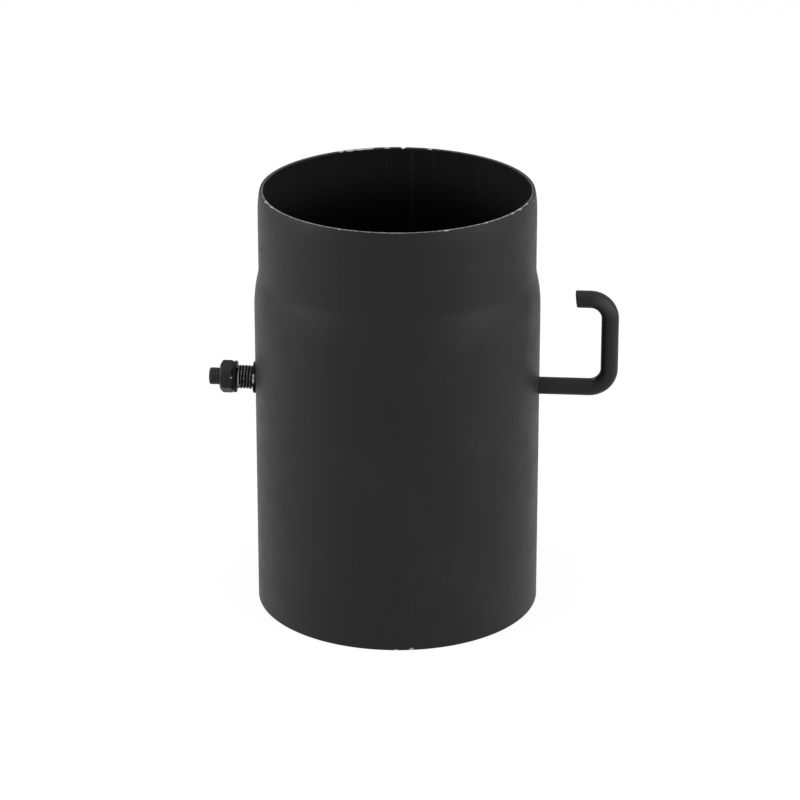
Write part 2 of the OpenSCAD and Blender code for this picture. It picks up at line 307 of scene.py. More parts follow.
def rounded_piece(node, name, slot, finish, offset, degrees=25, segments=2):
    """A piece from a copy of a CAD node's mesh, with its triangles merged and its edges rounded."""
    bm = bmesh.new()
    bm.from_mesh(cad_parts[node].data)
    for layer in list(bm.loops.layers.uv):
        bm.loops.layers.uv.remove(layer)
    bmesh.ops.remove_doubles(bm, verts=bm.verts, dist=0.002 * MM)
    bmesh.ops.dissolve_limit(
        bm, angle_limit=math.radians(0.5), verts=bm.verts, edges=bm.edges,
        use_dissolve_boundaries=False,
    )
    bevel(bm, sharp_edges(bm, degrees), offset, segments)
    mark_wear(bm)
    new_piece(bm, name, node, DAMPER_BODY, slot, 30, finish)


def smooth_step(low, high, value):
    share = min(1, max(0, (value - low) / (high - low)))
    return share * share * (3 - 2 * share)


def on_pipe(degrees, radius, height):
    """The point at a turn from +X, a radius and a height."""
    return Matrix.Rotation(math.radians(degrees), 3, "Z") @ Vector((radius, 0, height))


def from_bar(vert):
    """A vertex's offset from the middle of the bar, and its distance from the bar's axis."""
    off = vert.co - BAR_CENTRE
    return off, math.hypot(off.y, off.z)


def draw_in(vert, off, scale):
    """Moves a vertex towards the bar's axis, to a share of its offset."""
    vert.co.y, vert.co.z = off.y * scale, BAR_HEIGHT + off.z * scale


def thread_groove(along, turn, pitch):
    """Depth share of a right-handed thread's groove: 0 on the crest and 1 in the root."""
    phase = (along / pitch - turn / math.tau) % 1
    return smooth_step(0.1, 0.4, phase) - smooth_step(0.6, 0.9, phase)


def hexagon_limit(turn, flats, cones, soft):
    """Radius of a chamfered hexagon at a turn from a corner, and how near its edges that is.

    cones are the radii that the chamfers leave there, and soft is the reach of the rounding.
    """
    to_flat = turn % math.radians(60) - math.radians(30)
    flat = flats / 2 / math.cos(to_flat)
    limit = flat
    for cone in cones:
        blend = max(0, soft - abs(limit - cone)) / soft
        limit = min(limit, cone) - blend * blend * soft / 4
    at_corner = smooth_step(math.radians(24), math.radians(30), abs(to_flat))
    at_cone = 1 - smooth_step(0, soft, abs(flat - min(cones)))
    return limit, max(0.8 * at_corner * (min(cones) > flat), at_cone)


# ---- Materials


def fill(tree, node, inputs):
    """Sets a node's inputs, or links them to the sockets that are given."""
    for key, value in inputs.items():
        if isinstance(value, bpy.types.NodeSocket):
            tree.links.new(value, node.inputs[key])
        else:
            node.inputs[key].default_value = value


def add_node(tree, kind, inputs=None, output=0, **settings):
    """Adds a node and returns one of its outputs."""
    node = tree.nodes.new(kind)
    for name, value in settings.items():
        setattr(node, name, value)
    fill(tree, node, inputs or {})
    return node.outputs[output] if node.outputs else None


class Paintwork:
    """Adds nodes to a new material, with the shader last."""

    def __init__(self, name):
        self.material = bpy.data.materials.new(name)
        self.material.use_nodes = True
        self.tree = self.material.node_tree
        self.place = self.add("TexCoord", output="Object")

    def add(self, kind, inputs=None, output=0, **settings):
        return add_node(self.tree, "ShaderNode" + kind, inputs, output, **settings)

    def noise(self, size, detail, roughness, stretch=1):
        """Noise with blotches of about a size in millimetres, which stretch squeezes along Z."""
        place = self.place
        if stretch != 1:
            place = self.add("Mapping", {"Vector": place, "Scale": (1, 1, stretch)})
        inputs = {"Vector": place, "Scale": 1 / (size * MM), "Detail": detail}
        return self.add("TexNoise", {**inputs, "Roughness": roughness}, "Fac")

    def reckon(self, operation, a, b=0.0, clamp=False):
        return self.add("Math", {0: a, 1: b}, operation=operation, use_clamp=clamp)

    def times(self, a, b):
        return self.reckon("MULTIPLY", a, b)

    def plus(self, a, b, clamp=False):
        return self.reckon("ADD", a, b, clamp)

    def less(self, a, b, clamp=False):
        return self.reckon("SUBTRACT", a, b, clamp)

    def most(self, a, b):
        return self.reckon("MAXIMUM", a, b)

    def band(self, value, low, high, out_low=0.0, out_high=1.0):
        """A value eased from one range into another."""
        limits = {"From Min": low, "From Max": high, "To Min": out_low, "To Max": out_high}
        return self.add("MapRange", {"Value": value, **limits}, interpolation_type="SMOOTHSTEP")

    def blend(self, share, a, b):
        """Two colours mixed by a share."""
        return self.add("Mix", {0: share, 6: a, 7: b}, 2, data_type="RGBA")

    def attribute(self, name):
        return self.add("Attribute", output="Fac", attribute_name=name)

    def flaked(self, size, uneven):
        """The stored wear and painted highlights, with flakes of a size in millimetres that break
        up its border.
        """
        flakes = self.less(self.noise(size, 3, 0.6), 0.5)
        return self.plus(self.attribute("wear_and_glint"), self.times(flakes, uneven))

    def skin(self, *bumps):
        """Bumps over one another, each a height, a distance in millimetres and a strength."""
        under = {}
        for height, distance, strength in bumps:
            inputs = {"Height": height, "Distance": distance * MM, "Strength": strength}
            under = {"Normal": self.add("Bump", {**inputs, **under})}
        return under["Normal"]

    def finish(self, colour, roughness, metallic, normal, specular):
        fill(self.tree, self.tree.nodes["Principled BSDF"], {
            "Base Color": colour, "Roughness": roughness, "Metallic": metallic,
            "Normal": normal, "Specular IOR Level": specular,
        })
        return self.material


def worn_paint(name):
    """Matt black stove paint with fine grain, pale rubbed patches and wear along the edges, with
    the painted highlights and glints that are stored with the wear.
    """
    paint, bare, dust_share, gloss, specular, uneven = PAINTS[name]
    colours = bpy.context.scene.damper_colours
    work = Paintwork(name)
    broad = work.noise(38, 3, 0.55)
    cloudy = work.noise(9, 4, 0.6)
    worn = work.flaked(0.9, uneven)
    steel = work.band(worn, 1 - bare, 1.25 - bare)
    rubbed = work.band(worn, 0.55 - bare * 0.5, 1.05 - bare * 0.5)
    patches = work.times(work.band(broad, 0.45, 0.75), work.band(cloudy, 0.4, 0.7))
    dust_and_sheen = work.most(work.times(patches, dust_share), work.times(rubbed, 0.55))
    # Smooth lightening on the handle's upper bend: rubbed paint and a painted highlight
    smooth = work.times(work.attribute("rub_and_sheen"), work.band(cloudy, 0.2, 0.7, 0.6, 1.0))
    dust_and_sheen = work.plus(dust_and_sheen, smooth, clamp=True)
    coat = work.blend(dust_and_sheen, getattr(colours, paint), colours.dust)
    roughness = work.band(cloudy, 0.3, 0.75, 0.5 - gloss, 0.6 - gloss)
    return work.finish(
        work.blend(steel, coat, colours.worn_steel),
        work.less(roughness, work.times(steel, 0.12)),
        work.times(steel, 0.85),
        work.skin(
            (work.noise(1.6, 2, 0.5), 0.05, 0.5),
            (work.noise(0.35, 2, 0.6), 0.02, 0.6),
            (work.less(1.0, steel), 0.05, 0.6),
        ),
        specular,
    )


def bare_steel(name):
    """Darkened bare steel with drawing marks and a little first rust."""
    colours = bpy.context.scene.damper_colours
    work = Paintwork(name)
    marks = work.noise(0.8, 4, 0.65)
    cloudy = work.noise(5, 4, 0.6)
    pits = work.noise(0.5, 2, 0.5)
    light = work.times(work.attribute("wear_and_glint"), 0.45)
    light = work.plus(light, work.band(marks, 0.35, 0.75, 0, 0.4), clamp=True)
    steel = work.blend(light, colours.dark_steel, colours.worn_steel)
    spots = work.times(work.band(cloudy, 0.52, 0.72), work.band(pits, 0.45, 0.6))
    rusty = work.times(spots, 0.25)
    return work.finish(
        work.blend(rusty, steel, colours.rust),
        work.band(cloudy, 0.3, 0.7, 0.34, 0.54),
        work.less(1.0, rusty),
        work.skin((marks, 0.02, 0.6), (pits, 0.02, 0.4)),
        0.5,
    )


# ---- Pipe


def pipe_outside(height, sizes):
    """Outer radius of the pipe at a height, before the kink is rounded."""
    if height <= sizes.shoulder_low:
        return BODY_RADIUS
    if height <= sizes.shoulder_high:
        up = height - sizes.shoulder_low
        rise = sizes.shoulder_high - sizes.shoulder_low
        drop = BODY_RADIUS - sizes.spigot_radius
        arc = (rise ** 2 + drop ** 2) / (2 * drop)
        return BODY_RADIUS - arc + math.sqrt(arc ** 2 - up ** 2)
    curl = max(0, height - sizes.lip_low) / (PIPE_HEIGHT - sizes.lip_low)
    return sizes.spigot_radius - sizes.lip_in * curl ** 2


def soft_outside(height, sizes):
    """The same with the kink rounded, as the sheet bends."""
    if height > sizes.lip_low:
        return pipe_outside(height, sizes)
    steps = range(-4, 5)
    reach = sizes.kink_soft
    return sum(pipe_outside(height + reach * s / 4, sizes) for s in steps) / len(steps)


def pipe_heights(step):
    """Heights of the pipe's rows: close at the holes, the shoulder, the lip and the rims."""
    rows = [0.0011, 0.002, 0.004, 0.008, 0.014, 0.022, 0.034, 0.05, 0.068, 0.086, 0.1]
    rows += [BAR_HEIGHT + step * i for i in range(-PATCH_ROWS, PATCH_ROWS + 1)]
    rows += [0.151, 0.157, 0.162]
    rows += [0.166 + 0.002 * i for i in range(17)]
    rows += [0.1995, 0.2005, 0.2015, 0.2025, 0.204, 0.207, 0.211, 0.216, 0.222, 0.228, 0.234]
    rows += [0.238, 0.24, 0.242, 0.244, 0.2455, 0.247, 0.248, 0.2487]
    return rows


def rim_curve(radius_out, radius_in, edge, flip):
    """Points over a rim with two rounded edges, from the outside to the inside."""
    soft = bpy.context.scene.damper_pipe.rim_round
    steps, flat_steps = 5, 4
    points = []
    for middle, start in ((radius_out - soft, 0), (radius_in + soft, 90)):
        if points:
            gap = (middle - points[-1][0]) / flat_steps
            points += [(points[-1][0] + gap * i, edge) for i in range(1, flat_steps)]
        for i in range(steps + 1):
            turn = math.radians(start + 90 * i / steps)
            drop = flip * soft * (1 - math.sin(turn))
            points.append((middle + soft * math.cos(turn), edge - drop))
    return points


def open_hole(bm, side, step):
    """Opens the bar's hole: a square patch of the wall is drawn into a circle and cut out."""
    sizes = bpy.context.scene.damper_pipe
    radius = BAR_RADIUS + sizes.hole_play
    rims = []
    for wall in (BODY_RADIUS, BODY_RADIUS - sizes.wall):
        ring, gone = set(), set()
        for vert in bm.verts:
            if vert.co.x * side < wall / 2 or abs(vert.co.xy.length - wall) > 0.2 * MM:
                continue
            across = wall * math.asin(max(-1, min(1, vert.co.y / wall)))
            up = vert.co.z - BAR_HEIGHT
            index = max(abs(across) / wall, abs(up) / BODY_RADIUS) / step
            if index > PATCH_ROWS - 0.5:
                continue
            if round(index) < HOLE_ROWS:
                gone.add(vert)
                continue
            at_hole = round(index) == HOLE_ROWS
            if at_hole:
                ring.add(vert)
            circle = radius * index / HOLE_ROWS / math.hypot(across, up)
            share = smooth_step(HOLE_ROWS, PATCH_ROWS, index)
            scale = circle * (1 - share) + share
            y, z = across * scale, up * scale
            turn = math.asin(max(-1, min(1, y / wall))) if at_hole else y / wall
            vert.co = (side * wall * math.cos(turn), wall * math.sin(turn), BAR_HEIGHT + z)
        faces = {f for v in gone for f in v.link_faces}
        bmesh.ops.delete(bm, geom=list(faces), context="FACES_ONLY")
        bmesh.ops.delete(bm, geom=list(gone), context="VERTS")
        rims += [e for e in bm.edges if e.is_boundary and set(e.verts) <= ring]
    bmesh.ops.bridge_loops(bm, edges=rims)
    return rims


def shape_wall(bm, sizes):
    """Moves the wall a little: jaw marks, a wavy rim, the weld and the nick at its top."""
    jaw_turn, wave_depth, nick_width = math.radians(52.3), 0.22 * MM, 1.1 * MM
    ground_width, undercut_place, undercut_width = 1.6 * MM, 2.4 * MM, 0.7 * MM
    for vert in bm.verts:
        x, y, z = vert.co
        radius = math.hypot(x, y)
        turn = math.atan2(y, x)
        # The jaws' marks start 158 mm up, are deepest from 182 to 200 mm and end at 236 mm
        swaged = smooth_step(0.158, 0.182, z) * (1 - smooth_step(0.2, 0.236, z))
        jaws = 0.5 - 0.5 * math.cos(sizes.jaws * (turn + jaw_turn))
        move = -sizes.jaw_mark * swaged * jaws ** 2
        across = past(turn, sizes.weld_turn) * radius
        ends = smooth_step(0, sizes.weld_width, z - sizes.weld_short)
        ends *= smooth_step(0, sizes.weld_width, PIPE_HEIGHT - sizes.weld_short - z)
        if radius < pipe_outside(z, sizes) - sizes.wall / 2:
            bead = 1 - (across / (sizes.weld_width / 2)) ** 2
            move -= sizes.weld_height * ends * max(0, bead) ** 0.7
        elif abs(across) < 6 * MM and z > 1 * MM:
            ground = math.exp(-(across / ground_width) ** 2)
            undercut = math.exp(-((abs(across) - undercut_place) / undercut_width) ** 2)
            move -= 0.05 * MM * ground + 0.09 * MM * undercut * ends
        beside = past(turn, sizes.nick_turn) * radius
        nick = math.exp(-(beside / nick_width) ** 2)
        wave = 0.5 + 0.3 * math.sin(2 * turn + 0.6) + 0.2 * math.sin(5 * turn + 2.1)
        z -= smooth_step(0.244, PIPE_HEIGHT, z) * (wave_depth * wave + sizes.nick * nick)
        scale = (radius + move) / radius
        vert.co = (x * scale, y * scale, z)


def past(turn, mark):
    """How far a turn lies past a mark, from minus to plus half a turn."""
    return (turn - mark + math.pi) % math.tau - math.pi


def mark_inside(bm):
    """Gives the inside wall its own paint."""
    bm.normal_update()
    for face in bm.faces:
        middle = face.calc_center_median()
        inward = face.normal.xy.dot(middle.xy.normalized()) < -0.7
        face.material_index = int(inward and middle.z < PIPE_HEIGHT - 1 * MM)


def pipe_wear_and_highlight(bm, sizes):
    """Stores where the paint is rubbed or chipped: both rims, the holes and single chips, with a
    painted highlight along the front of the upper rim.
    """
    layer = bm.verts.layers.float.new("wear_and_glint")
    rim_radius = pipe_outside(PIPE_HEIGHT, sizes)
    spots = [(on_pipe(turn, radius * MM, up * MM), reach * MM)
             for turn, radius, up, reach in CHIPS]
    for vert in bm.verts:
        x, y, z = vert.co
        radius = math.hypot(x, y)
        # Towards the front the worn band reaches nearer to the rim's outer edge and is stronger: a
        # painted highlight along the front of the rim, over its wear
        front = smooth_step(-0.2, 0.6, -y / radius)
        start = 0.42 - 0.3 * front
        across = (rim_radius - radius) / sizes.wall
        upper = smooth_step(start - 0.14, start + 0.14, across)
        upper *= smooth_step(PIPE_HEIGHT - 0.5 * MM, PIPE_HEIGHT - 0.2 * MM, z)
        lower = 1 - smooth_step(0.2 * MM, 1.0 * MM, z)
        hole = math.hypot(y, z - BAR_HEIGHT) if abs(x) > 0.05 else 1
        hole = 1 - smooth_step(BAR_RADIUS + 0.2 * MM, BAR_RADIUS + 1.2 * MM, hole)
        wear = max((0.7 + 0.17 * front) * upper, 0.5 * lower, 0.5 * hole)
        for centre, reach in spots:
            away = vert.co - centre
            near = 1 - math.hypot(away.xy.length, 2 * away.z) / reach
            if near > 0:
                wear = max(wear, min(1.15, wear + 1.3 * near))
        vert[layer] = wear


class DAMPER_OT_pipe(bpy.types.Operator):
    """Builds the pipe: swaged end, soft shoulder, curled lip, weld bead and the bar's two holes"""

    bl_idname = "damper.build_pipe"
    bl_label = "Pipe"

    def execute(self, context):
        sizes = context.scene.damper_pipe
        # Columns round the pipe, with finer ones between two of them, where the weld runs down
        coarse, fine, first, last = 384, 48, 88, 100
        step = math.tau / coarse
        seam = (last - first) * step
        walls = [(soft_outside(z, sizes), z) for z in pipe_heights(BODY_RADIUS * step)]
        top = pipe_outside(PIPE_HEIGHT, sizes)
        section = walls + rim_curve(top, top - sizes.wall, PIPE_HEIGHT, 1)
        section += [(r - sizes.wall, z) for r, z in reversed(walls)]
        section += reversed(rim_curve(BODY_RADIUS, BODY_RADIUS - sizes.wall, 0, -1))
        bm = bmesh.new()
        turn = Matrix.Rotation(last * step, 4, "Z")
        profile = polyline(bm, [turn @ Vector((r, 0, z)) for r, z in section], cyclic=True)
        foot, up = (0, 0, 0), (0, 0, 1)
        end = spun(bm, profile, foot, up, math.tau - seam, coarse - last + first)
        spun(bm, end, foot, up, seam, fine)
        close_up(bm, 0.01 * MM)
        rims = [e for side in (1, -1) for e in open_hole(bm, side, step)]
        bmesh.ops.recalc_face_normals(bm, faces=bm.faces)
        outer = [e for e in rims
                 if all(abs(v.co.xy.length - BODY_RADIUS) < 0.05 * MM for v in e.verts)]
        bevel(bm, outer, 0.25 * MM)
        pipe_wear_and_highlight(bm, sizes)
        shape_wall(bm, sizes)
        mark_inside(bm)
        paints = ("pipe_matt_black", "flue_inside_black")
        new_piece(bm, "flue_pipe", "pipe", PIPE_BODY, "pipe_paint", 40, *paints)
        return {"FINISHED"}


def seam_place(work):
    """Distance across the weld seam, as a socket in metres, and 1 on the seam's side."""
    turn = bpy.context.scene.damper_pipe.weld_turn
    turned = work.add("Mapping", {"Vector": work.place, "Rotation": (0, 0, -turn)})
    along = work.add("SeparateXYZ", {0: turned})
    across = work.add("SeparateXYZ", {0: turned}, 1)
    return work.reckon("ABSOLUTE", across), work.band(along, 0.03, 0.06)


def make_pipe_paint(name):
    """Matt black paint with chips down to the steel, over a weld that was ground flush."""
    colours = bpy.context.scene.damper_colours
    work = Paintwork(name)
    broad = work.noise(55, 2, 0.5)
    cloudy = work.noise(12, 4, 0.6)
    streaks = work.noise(2.2, 3, 0.6, 0.03)
    scratches = work.noise(0.7, 3, 0.6, 0.12)
    across, near = seam_place(work)
    ground = work.times(work.band(across, 0.7 * MM, 2.6 * MM, 1.0, 0.0), near)

    worn = work.flaked(0.8, 0.9)
    # The stored wear also holds the painted highlight along the front of the upper rim, shown as
    # pale paint and bare steel
    steel = work.band(worn, 0.78, 1.0)
    patches = work.times(work.band(broad, 0.45, 0.75), work.band(cloudy, 0.35, 0.7))
    dust_and_sheen = work.plus(work.times(patches, 0.1), work.times(work.band(streaks, 0.5, 0.8), 0.03))
    dust_and_sheen = work.plus(dust_and_sheen, work.times(ground, 0.06))
    dust_and_sheen = work.most(dust_and_sheen, work.times(work.band(worn, 0.4, 0.85), 0.6))
    dust_and_sheen = work.most(dust_and_sheen, work.band(work.noise(2.6, 1, 0.4), 0.82, 0.86, 0, 0.2))
    coat = work.blend(dust_and_sheen, colours.paint, colours.dust)
    painted = work.blend(steel, coat, colours.worn_steel)
    # Each pit gets a dent, a rougher finish and near black painted shade
    pitted = 0.0
    for turn, up, reach in PITS:
        spot = on_pipe(turn, pipe_outside(up * MM, bpy.context.scene.damper_pipe), up * MM)
        far = work.add("VectorMath", {0: work.place, 1: spot}, "Value", operation="DISTANCE")
        pit = work.band(far, 0.4 * reach * MM, reach * MM, 1.0, 0.0)
        pitted = work.most(pit, pitted)

    roughness = work.band(cloudy, 0.3, 0.75, 0.46, 0.55)
    roughness = work.less(roughness, work.times(steel, 0.1))
    return work.finish(
        work.blend(pitted, painted, colours.painted_shade),
        work.plus(roughness, pitted, clamp=True),
        work.times(steel, 0.85),
        work.skin(
            (work.noise(46, 1, 0.4, 0.35), 1.0, 0.25),
            (work.noise(1.7, 2, 0.5), 0.04, 0.5),
            (work.noise(0.32, 2, 0.6), 0.02, 0.5),
            (work.times(scratches, ground), 0.08, 0.6),
            (work.less(1.0, steel), 0.06, 0.6),
            (work.less(1.0, pitted), 0.3, 0.8),
        ),
        0.16,
    )


def make_inside_paint(name):
    """The inside: the same paint, darkened further down by painted shade, with the ripples of the
    weld bead.
    """
    colours = bpy.context.scene.damper_colours
    work = Paintwork(name)
    height = work.add("SeparateXYZ", {0: work.place}, 2)
    cloudy = work.noise(16, 4, 0.6)
    broad = work.noise(60, 2, 0.5, 0.5)
    runs = work.noise(3.5, 3, 0.6, 0.06)
    across, near = seam_place(work)
    bead = work.times(work.band(across, 1.1 * MM, 1.7 * MM, 1.0, 0.0), near)
    scorched = work.times(work.band(across, 1.5 * MM, 9 * MM, 1.0, 0.0), near)
    ripples = work.reckon("SINE", work.times(height, math.tau / (1.7 * MM)))

    # Painted shade darkens the inside further down: it starts about 246 mm up and is full below
    # about 206 mm. Broad patches and the proud weld bead get less of it
    painted_shade = work.band(work.plus(height, work.times(cloudy, 6 * MM)), 0.206, 0.246, 1.0, 0.0)
    painted_shade = work.less(painted_shade, work.times(work.band(broad, 0.5, 0.8), 0.06), clamp=True)
    painted_shade = work.less(painted_shade, work.times(bead, 0.22), clamp=True)
    light = work.plus(work.times(work.band(runs, 0.5, 0.75), 0.05), work.times(bead, 0.05))
    light = work.less(light, work.times(scorched, 0.04), clamp=True)
    coat = work.blend(light, colours.inside_paint, colours.dust)
    return work.finish(
        work.blend(painted_shade, coat, colours.painted_shade),
        work.plus(work.band(cloudy, 0.3, 0.75, 0.6, 0.72), work.times(painted_shade, 0.2)),
        0.0,
        work.skin((work.times(ripples, bead), 0.12, 0.7), (work.noise(0.5, 3, 0.6), 0.03, 0.5)),
        0.035,
    )


# What makes each finish. worn_paint makes the others
FINISHES = {
    "pipe_matt_black": make_pipe_paint, "flue_inside_black": make_inside_paint,
    "fixing_dark_steel": bare_steel,
}


# ---- Bar, nut, washers and spring


def ring_of(made):
    """The vertices that an operator made, and the edges between them."""
    verts = {g for g in made if isinstance(g, bmesh.types.BMVert)}
    edges = [g for g in made if isinstance(g, bmesh.types.BMEdge) and verts.issuperset(g.verts)]
    return list(verts), edges


def draw_along(bm, edges, move, steps):
    """Draws a ring of edges out along a straight, in steps."""
    for _ in range(steps):
        made = bmesh.ops.extrude_edge_only(bm, edges=edges)["geom"]
        verts, edges = ring_of(made)
        bmesh.ops.translate(bm, verts=verts, vec=Vector(move) / steps)
    return edges


def bend_round(bm, edges, centre):
    """Turns a ring of edges a quarter round, in the plane of the handle."""
    verts = {v for e in edges for v in e.verts}
    made = spun(bm, list(verts) + edges, centre, (0, -1, 0), math.radians(90), 20)
    return ring_of(made)[1]


def cut_thread(bm, sizes, start, end):
    """Cuts the shallow thread that the paint has half filled, and rounds the stub's end."""
    for vert in bm.verts:
        if vert.co.x > end + 0.01 * MM or vert.co.z > BAR_HEIGHT + 2 * BAR_RADIUS:
            continue
        off, away = from_bar(vert)
        groove = thread_groove(off.x, math.atan2(off.z, off.y), sizes.thread_pitch)
        fade = smooth_step(0, 1 * MM, end - off.x)
        radius = BAR_RADIUS - sizes.thread_depth * groove * fade
        share = max(0, 1 - (off.x - start) / sizes.end_bevel)
        radius -= sizes.end_bevel * (1 - math.sqrt(max(0, 1 - share ** 2)))
        draw_in(vert, off, radius / away)


def lean_end(bm, sizes):
    """Leans the cut of the free end a little."""
    reach = 4 * MM
    for vert in bm.verts:
        if vert.co.z > LEG_HEIGHT - 1.2 * BAR_RADIUS and vert.co.x < sizes.free_end + reach:
            share = 1 - (vert.co.x - sizes.free_end) / reach
            vert.co.x -= sizes.free_lean * share * (vert.co.z - LEG_HEIGHT) / BAR_RADIUS


def rub_handle(bm, sizes, scraped):
    """Adds the rubbed paint on the outside of the upper bend, which is also a painted highlight
    where the bend catches the light, and a scrape by the lower one.
    """
    rubbed = bm.verts.layers.float.new("rub_and_sheen")
    corner = Vector((GRIP_X - sizes.bend_radius, 0, LEG_HEIGHT - sizes.bend_radius))
    scrape = Vector((GRIP_X - 8.8 * MM, -1.6 * MM, BAR_HEIGHT + 5.5 * MM))
    for vert in bm.verts:
        off = vert.co - corner
        if off.x > 0 and off.z > 0:
            outward = (math.hypot(off.x, off.z) - sizes.bend_radius) / BAR_RADIUS
            middle = 1 - abs(math.degrees(math.atan2(off.z, off.x)) - 48) / 42
            patch = smooth_step(-0.5, 0.1, outward) * (1 - smooth_step(0.4, 0.9, outward))
            # Rubbed paint and painted highlight on the bend's outer side
            vert[rubbed] = 0.42 * patch * smooth_step(0, 0.8, middle)
        near = 1 - smooth_step(0, 1.7 * MM, (vert.co - scrape).length)
        vert[scraped] = max(vert[scraped], 1.1 * near)


class DAMPER_OT_bar(bpy.types.Operator):
    """Builds the bar: threaded stub, straight shaft, two bends and the handle's upper leg"""

    bl_idname = "damper.build_bar"
    bl_label = "Bar and handle"

    def execute(self, context):
        sizes = context.scene.damper_bar
        sides, rows_per_pitch = 64, 8
        start, thread_end = BAR_LOW.x, -BODY_RADIUS - 2.5 * MM
        shaft_end = GRIP_X - sizes.bend_radius
        bm = bmesh.new()
        facing = Matrix.Rotation(math.radians(90), 4, "Y")
        bmesh.ops.create_circle(
            bm, cap_ends=False, segments=sides, radius=BAR_RADIUS,
            matrix=Matrix.Translation((start, 0, BAR_HEIGHT)) @ facing,
        )
        first = edge = list(bm.edges)
        rows = round((thread_end - start) / sizes.thread_pitch * rows_per_pitch)
        edge = draw_along(bm, edge, (thread_end - start, 0, 0), rows)
        edge = draw_along(bm, edge, (shaft_end - thread_end, 0, 0), 60)
        edge = bend_round(bm, edge, (shaft_end, 0, BAR_HEIGHT + sizes.bend_radius))
        edge = draw_along(bm, edge, (0, 0, LEG_HEIGHT - BAR_HEIGHT - 2 * sizes.bend_radius), 12)
        edge = bend_round(bm, edge, (shaft_end, 0, LEG_HEIGHT - sizes.bend_radius))
        edge = draw_along(bm, edge, (sizes.free_end - shaft_end, 0, 0), 8)
        caps = [bmesh.ops.contextual_create(bm, geom=e)["faces"][0] for e in (first, edge)]
        bmesh.ops.recalc_face_normals(bm, faces=bm.faces)
        cut_thread(bm, sizes, start, thread_end)
        lean_end(bm, sizes)
        bevel(bm, list(caps[1].edges), sizes.free_bevel, 4)
        rub_handle(bm, sizes, mark_wear(bm))
        new_piece(bm, "cross_bar", "handle_rod", DAMPER_BODY, "bar_paint", 40, "bar_matt_black")
        return {"FINISHED"}


def shape_nut(vert, layer, low, high, corner, sizes):
    """Draws a point of the round blank in to the hexagon, and in to the cone at either end."""
    off, radius = from_bar(vert)
    back_face, back_chamfer = 8.2 * MM, 0.6
    cones = (
        sizes.nut_face + max(0, off.x - low) / math.tan(sizes.nut_chamfer),
        back_face + max(0, high - off.x) / math.tan(back_chamfer),
    )
    turn = math.atan2(off.y, off.z) - sizes.nut_turn
    limit, edge = hexagon_limit(turn, sizes.nut_flats, cones, sizes.nut_round)
    share = radius / corner
    if radius > BAR_RADIUS + 0.2 * MM:
        draw_in(vert, off, limit * share / radius)
    chipped = 1 - smooth_step(0.3 * MM, 0.9 * MM, (vert.co - NUT_CHIP).length)
    vert[layer] = max(0.6 * edge * smooth_step(0.86, 1, share), 1.1 * chipped)


class DAMPER_OT_nut(bpy.types.Operator):
    """Builds the hexagon nut on the bar's threaded end, with its corners chamfered"""

    bl_idname = "damper.build_nut"
    bl_label = "Nut"

    def execute(self, context):
        sizes = context.scene.damper_bar
        low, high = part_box("rod_nut")
        corner = sizes.nut_flats / 2 / math.cos(math.radians(30))
        hole = BAR_RADIUS + 0.05 * MM
        rows, rings = 40, 10
        faces = [hole + (corner - hole) * i / rings for i in range(rings + 1)]
        section = [(low.x, radius) for radius in faces]
        section += [(low.x + (high.x - low.x) * i / rows, corner) for i in range(1, rows)]
        section += [(high.x, radius) for radius in reversed(faces)]
        bm = bar_ring(section, 180)
        layer = bm.verts.layers.float.new("wear_and_glint")
        for vert in bm.verts:
            shape_nut(vert, layer, low.x, high.x, corner, sizes)
        new_piece(bm, "bar_nut", "rod_nut", DAMPER_BODY, "bar_paint", 30, "nut_matt_black")
        return {"FINISHED"}


def flat_washer(node, body, slot, finish):
    sizes = bpy.context.scene.damper_bar
    low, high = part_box(node)
    outer, inner = (high.z - low.z) / 2, sizes.washer_hole
    bm = bar_ring(((low.x, inner), (low.x, outer), (high.x, outer), (high.x, inner)), 96)
    bevel(bm, sharp_edges(bm, 60), sizes.washer_round, 4)
    layer = mark_wear(bm)
    if node == "wall_washer":
        scrape_and_highlight_front(bm, layer, outer)
    new_piece(bm, node + "_ring", node, body, slot, 40, finish)


def scrape_and_highlight_front(bm, layer, outer):
    """Scrapes the rim bright towards the front: scraped paint, and a painted highlight where the
    rim faces the front.
    """
    for vert in bm.verts:
        off, radius = from_bar(vert)
        turn = math.degrees(math.atan2(-off.y, off.z))
        if radius > outer - 0.3 * MM:
            scraped = 1 - smooth_step(12, 32, abs(turn - 76))
            vert[layer] = max(vert[layer], 1.02 * scraped)


class DAMPER_OT_washers(bpy.types.Operator):
    """Builds the three flat washers on the bar"""

    bl_idname = "damper.build_washers"
    bl_label = "Washers"

    def execute(self, context):
        flat_washer("wall_washer", PIPE_BODY, "bar_paint", "washer_shaded_matt")
        flat_washer("nut_washer", DAMPER_BODY, "bar_paint", "washer_shaded_matt")
        flat_washer("stop_washer", DAMPER_BODY, "fixing_steel", "fixing_dark_steel")
        return {"FINISHED"}


